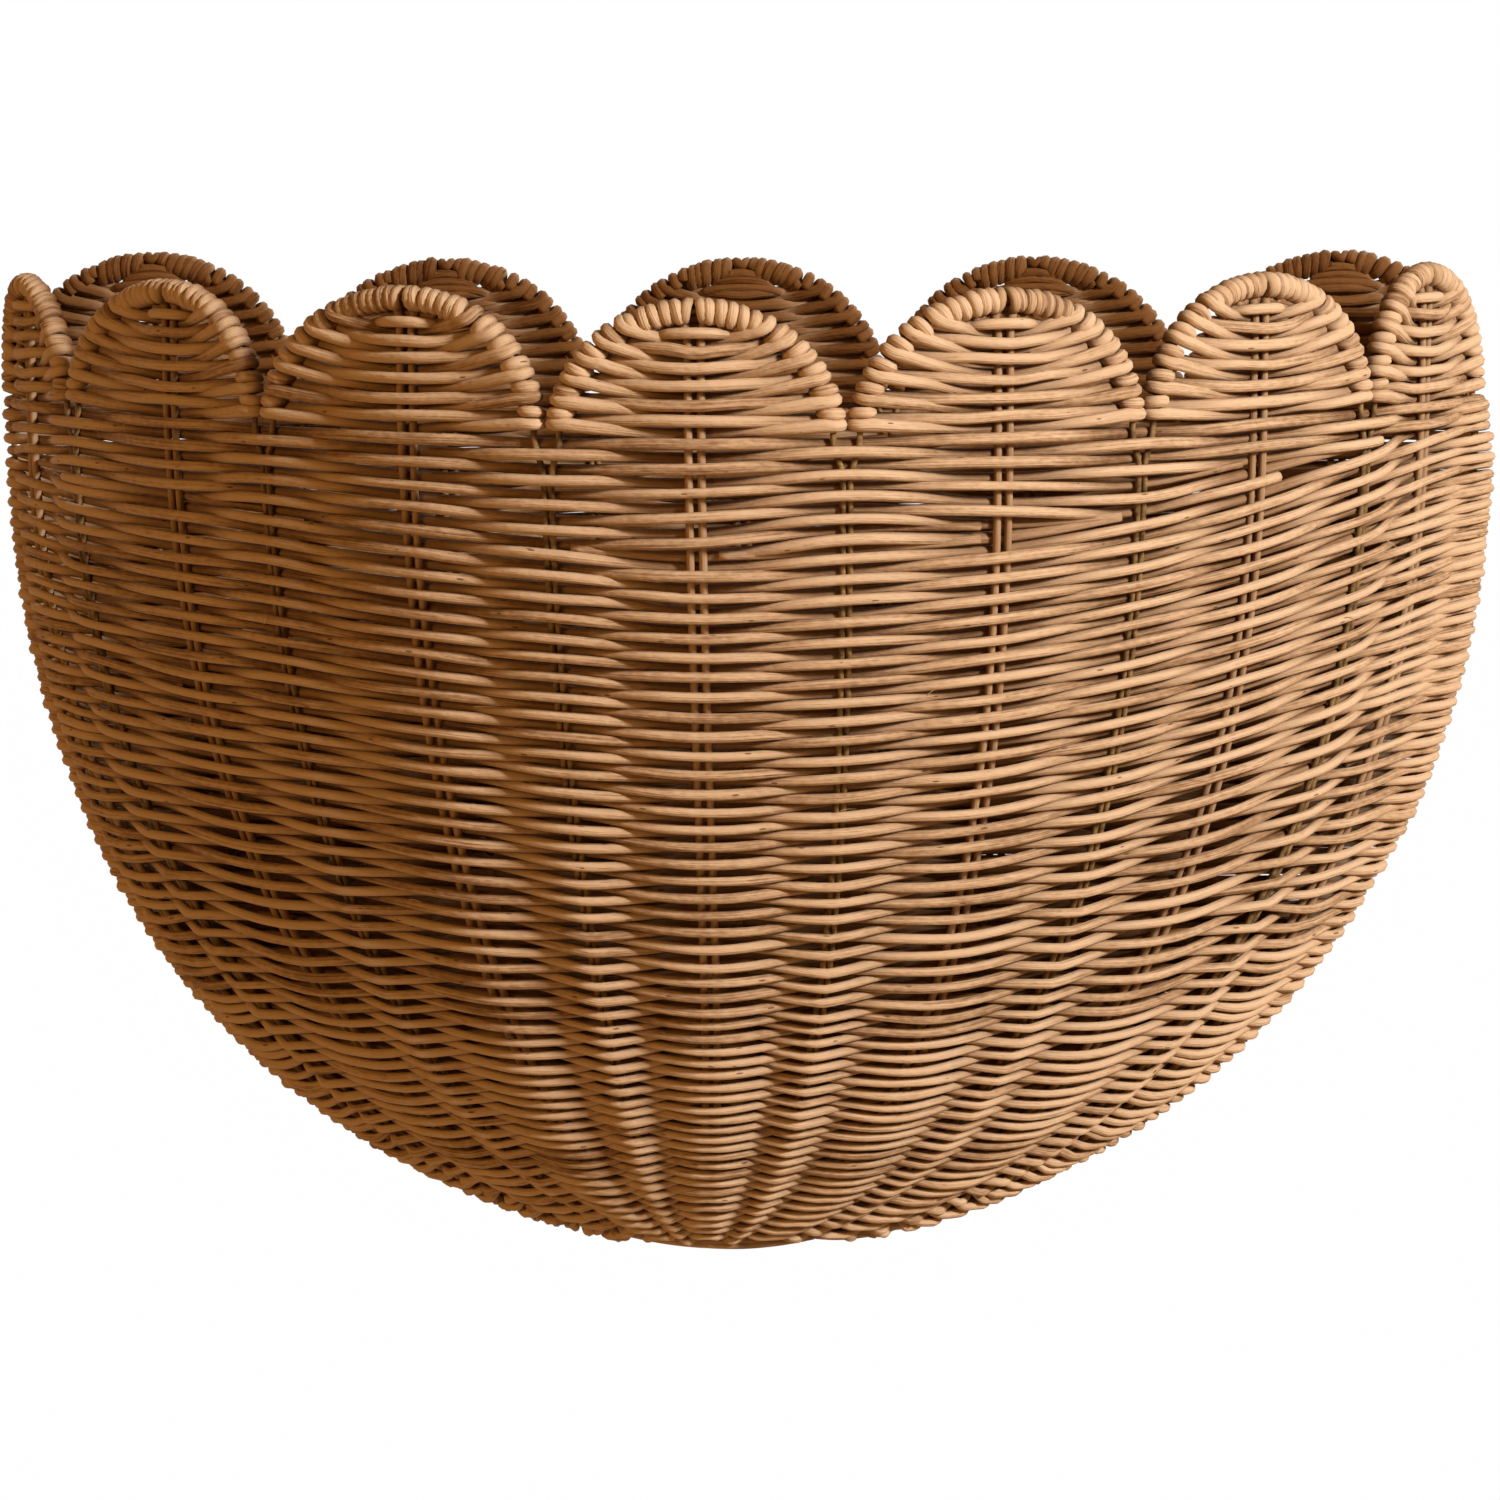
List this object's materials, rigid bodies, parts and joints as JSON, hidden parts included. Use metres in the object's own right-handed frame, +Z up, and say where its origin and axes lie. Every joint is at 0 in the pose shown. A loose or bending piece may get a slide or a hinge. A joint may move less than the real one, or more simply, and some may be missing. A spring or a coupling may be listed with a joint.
{
  "type": "wall basket",
  "caption": "Half-bowl wall basket woven from round reed over wire arches, flat at the back, with a scalloped wound rim, hung by its back rim to hold light things.",
  "frame": {"origin": "on the rear face, against the room's wall, midway between the two corners, at the height of the notches between the scallops", "axes": "+Z up, +Y out of the rear face into the room's wall, +X to the right as seen from the room"},
  "size_m": [0.3802, 0.1462, 0.2597],
  "materials": {
    "woven_rattan": "natural, satin",
    "rattan_stake": "natural, satin",
    "rattan_wrap": "natural, satin",
    "lacquered_wire": "brown lacquer"
  },
  "bodies": {
    "root": {"back_arch_wire_1": "lacquered_wire", "back_arch_wire_2": "lacquered_wire", "back_arch_wire_3": "lacquered_wire", "back_arch_wire_4": "lacquered_wire", "back_arch_wire_5": "lacquered_wire", "back_hairpin_stake_1": "rattan_stake", "back_hairpin_stake_2": "rattan_stake", "back_hairpin_stake_3": "rattan_stake", "back_hairpin_stake_4": "rattan_stake", "back_hairpin_stake_5": "rattan_stake", "back_rim_wrap_1": "rattan_wrap", "back_rim_wrap_2": "rattan_wrap", "back_rim_wrap_3": "rattan_wrap", "back_rim_wrap_4": "rattan_wrap", "back_rim_wrap_5": "rattan_wrap", "back_woven_wall": "woven_rattan", "base_bundle": "rattan_wrap", "front_arch_wire_1": "lacquered_wire", "front_arch_wire_2": "lacquered_wire", "front_arch_wire_3": "lacquered_wire", "front_arch_wire_4": "lacquered_wire", "front_arch_wire_5": "lacquered_wire", "front_arch_wire_6": "lacquered_wire", "front_arch_wire_7": "lacquered_wire", "front_hairpin_stake_1": "rattan_stake", "front_hairpin_stake_2": "rattan_stake", "front_hairpin_stake_3": "rattan_stake", "front_hairpin_stake_4": "rattan_stake", "front_hairpin_stake_5": "rattan_stake", "front_hairpin_stake_6": "rattan_stake", "front_hairpin_stake_7": "rattan_stake", "front_rim_wrap_1": "rattan_wrap", "front_rim_wrap_2": "rattan_wrap", "front_rim_wrap_3": "rattan_wrap", "front_rim_wrap_4": "rattan_wrap", "front_rim_wrap_5": "rattan_wrap", "front_rim_wrap_6": "rattan_wrap", "front_rim_wrap_7": "rattan_wrap", "front_woven_wall": "woven_rattan"}
  },
  "joints": []
}
